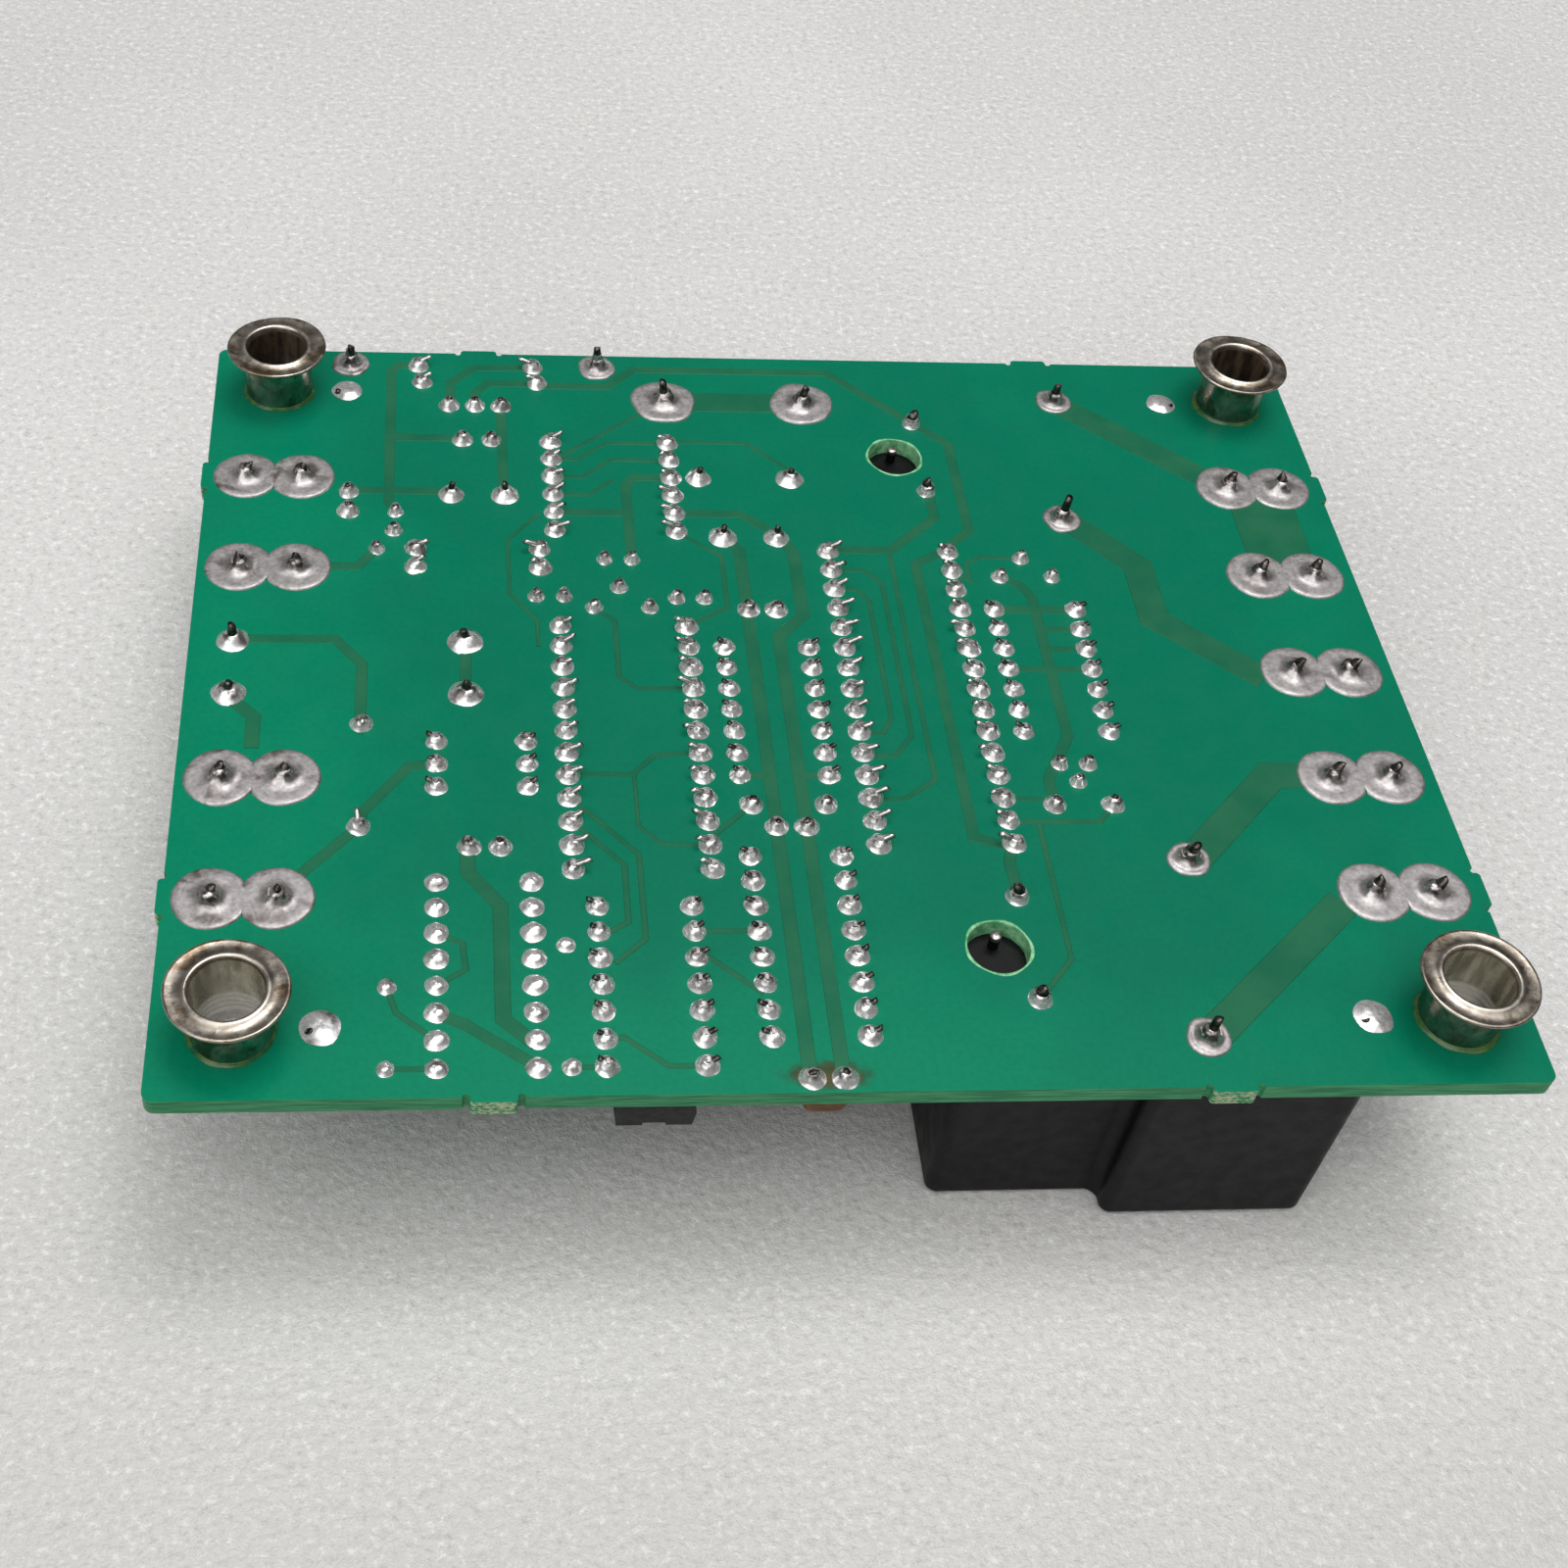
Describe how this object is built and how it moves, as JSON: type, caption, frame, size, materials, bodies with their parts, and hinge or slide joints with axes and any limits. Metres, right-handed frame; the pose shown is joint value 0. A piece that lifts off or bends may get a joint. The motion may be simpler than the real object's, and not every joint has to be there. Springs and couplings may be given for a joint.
{
  "type": "servo driver board",
  "caption": "Rectangular driver board lying solder side up, with eyelet stand-offs in its corners, relays, blade terminals and through-hole parts hanging below.",
  "frame": {"origin": "below the middle of the board, on the surface that the relay cases and the heatsink stand on", "axes": "+X along the long side, +Y towards the back edge, +Z out of the solder side, which faces up"},
  "size_m": [0.1094, 0.0894, 0.0255],
  "materials": {
    "laminate": "green solder mask over glass-epoxy laminate, satin to gloss",
    "eyelet_nickel": "tarnished nickel plate with brown stains",
    "solder": "dull tin-lead solder with bright facets",
    "tinned_brass": "tin-plated brass, satin",
    "moulded_black": "moulded epoxy, fine matt",
    "tinned_leads": "tinned wire, satin",
    "power_resistor_coat": "cement coat with colour bands",
    "resistor_coat": "lacquered tan coat with colour bands",
    "capacitor_sleeve": "shrink sleeve, gloss",
    "bung_rubber": "matt rubber",
    "strap_steel": "tinned steel strap",
    "disc_coat": "dipped orange coat, gloss",
    "tinned_copper": "nickel-plated tab, satin",
    "heatsink_aluminium": "black anodised aluminium",
    "zinc_steel": "zinc plate",
    "relay_case": "black moulded case, satin",
    "relay_base": "black moulded base",
    "bobbin_nylon": "natural nylon",
    "copper_wire": "enamelled copper winding",
    "soft_iron": "plated soft iron",
    "spring_bronze": "phosphor bronze leaf"
  },
  "bodies": {
    "board": {"back_left_eyelet": "eyelet_nickel", "back_relay_base": "relay_base", "back_relay_bobbin": "bobbin_nylon", "back_relay_case": "relay_case", "back_relay_terminals": "tinned_brass", "back_relay_winding": "copper_wire", "back_relay_yoke": "soft_iron", "back_resistor_leads": "tinned_leads", "back_resistors": "resistor_coat", "back_right_eyelet": "eyelet_nickel", "capacitor_bungs": "bung_rubber", "capacitor_leads": "tinned_leads", "capacitor_strap": "strap_steel", "centre_capacitor": "capacitor_sleeve", "centre_chip": "moulded_black", "centre_resistor_leads": "tinned_leads", "centre_resistors": "resistor_coat", "chip_pins": "tinned_leads", "chip_solder": "solder", "circuit_board": "laminate", "disc_capacitor_leads": "tinned_leads", "disc_capacitors": "disc_coat", "eyelet_solder_rings": "solder", "front_centre_chip": "moulded_black", "front_left_chip": "moulded_black", "front_left_eyelet": "eyelet_nickel", "front_relay_base": "relay_base", "front_relay_bobbin": "bobbin_nylon", "front_relay_case": "relay_case", "front_relay_terminals": "tinned_brass", "front_relay_winding": "copper_wire", "front_relay_yoke": "soft_iron", "front_right_eyelet": "eyelet_nickel", "heatsink": "heatsink_aluminium", "heatsink_nut": "zinc_steel", "heatsink_screw": "zinc_steel", "lead_solder": "solder", "left_blade_terminals": "tinned_brass", "left_capacitor": "capacitor_sleeve", "loose_resistor_leads": "tinned_leads", "loose_resistors": "resistor_coat", "lying_capacitor": "capacitor_sleeve", "optocoupler": "moulded_black", "power_resistor_leads": "tinned_leads", "power_resistors": "power_resistor_coat", "regulator_body": "moulded_black", "regulator_tab": "tinned_copper", "right_blade_terminals": "tinned_brass", "right_chip": "moulded_black", "right_resistor_leads": "tinned_leads", "right_resistors": "resistor_coat", "terminal_solder": "solder", "transistor_leads": "tinned_leads", "transistors": "moulded_black"},
    "front_relay_armature": {"front_relay_armature": "soft_iron", "front_relay_contact_spring": "spring_bronze"},
    "back_relay_armature": {"back_relay_armature": "soft_iron", "back_relay_contact_spring": "spring_bronze"}
  },
  "joints": [
    {"name": "front_relay_armature_swing", "type": "hinge", "parent": "board", "child": "front_relay_armature", "pos_m": [0.02005, -0.03079, 0.0056], "axis": [0, 1, 0], "range_deg": [0, 3.9], "stiffness_Nm_per_rad": 0.005, "springref_deg": -4.01},
    {"name": "back_relay_armature_swing", "type": "hinge", "parent": "board", "child": "back_relay_armature", "pos_m": [0.02005, 0.02916, 0.0056], "axis": [0, 1, 0], "range_deg": [0, 3.9], "stiffness_Nm_per_rad": 0.005, "springref_deg": -4.01}
  ]
}
